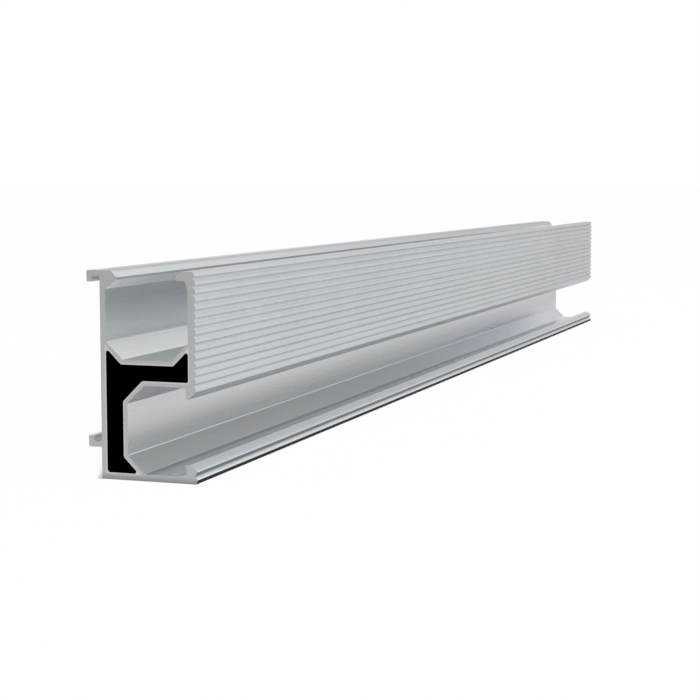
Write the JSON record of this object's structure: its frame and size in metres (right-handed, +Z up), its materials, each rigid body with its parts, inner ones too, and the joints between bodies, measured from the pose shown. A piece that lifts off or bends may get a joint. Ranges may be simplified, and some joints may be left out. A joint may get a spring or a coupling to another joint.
{
  "type": "solar mounting rail",
  "caption": "Extruded aluminium rail for mounting solar panels, with clamp channels in its top and serrated side, a hollow chamber between them and hooked edges on its plain back.",
  "frame": {"origin": "middle of the rail's length and of its depth over the hooks, on the floor under the base", "axes": "+X along the rail, from the end nearest the camera in the picture to the far end; -Y towards the serrated side with the side slot; +Y towards the plain back with the hooks; +Z up, out of the top slot"},
  "size_m": [0.58, 0.034, 0.06],
  "materials": {
    "aluminium": "satin mill finish with fine die lines along the length, saw-cut ends"
  },
  "bodies": {
    "root": {"mounting_rail": "aluminium"}
  },
  "joints": []
}
